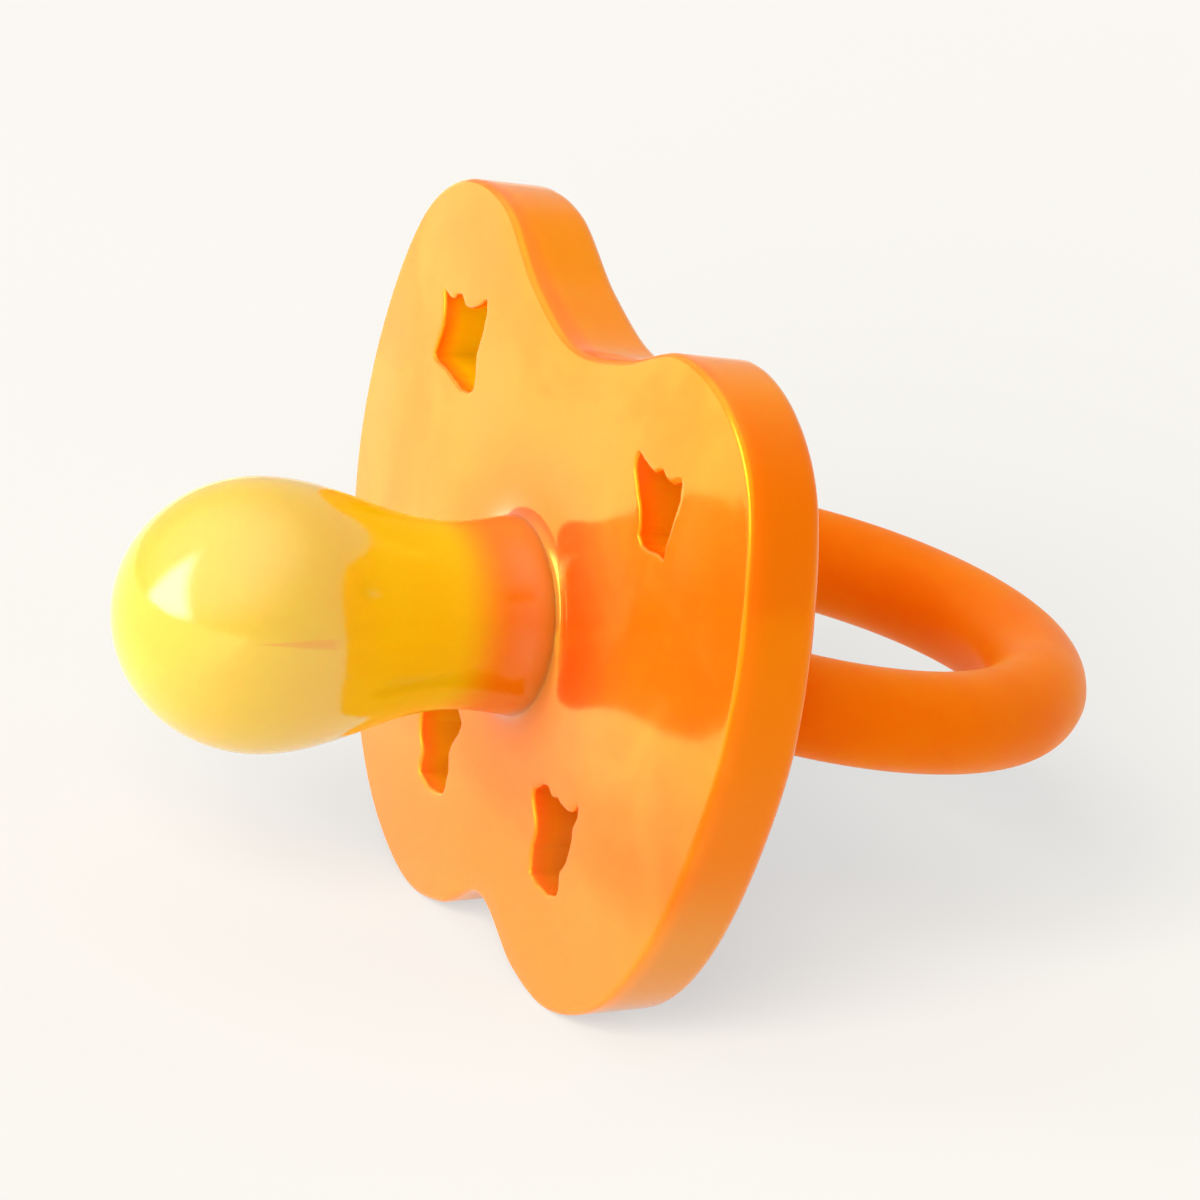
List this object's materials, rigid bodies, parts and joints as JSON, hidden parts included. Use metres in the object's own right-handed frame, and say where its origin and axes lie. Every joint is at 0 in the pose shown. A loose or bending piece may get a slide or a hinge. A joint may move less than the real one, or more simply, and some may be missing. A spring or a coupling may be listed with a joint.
{
  "type": "pacifier",
  "caption": "Soft rubber pacifier with a hollow cherry-shaped teat, a thick butterfly shield with crown-shaped vents and a swinging ring handle.",
  "frame": {"origin": "on the teat's axis, at the front face of the shield, where the lips close round the neck", "axes": "as worn: -Y is the teat's axis towards the mouth, +Y the way the ring handle lies, +Z towards the nose, X along the wings"},
  "size_m": [0.0512, 0.0604, 0.0415],
  "materials": {
    "clear_rubber": "translucent yellow latex, glossy",
    "shield_rubber": "translucent amber rubber, satin gloss",
    "plug_rubber": "translucent orange rubber, satin",
    "ring_rubber": "deep orange rubber, satin gloss"
  },
  "bodies": {
    "pacifier_body": {"teat": "clear_rubber", "shield": "shield_rubber", "plug": "plug_rubber"},
    "ring": {"ring": "ring_rubber"}
  },
  "joints": [
    {"name": "ring_swing", "type": "hinge", "parent": "pacifier_body", "child": "ring", "pos_m": [0, 0.0095, 0], "axis": [1, 0, 0], "range_deg": [-84, 95]}
  ]
}
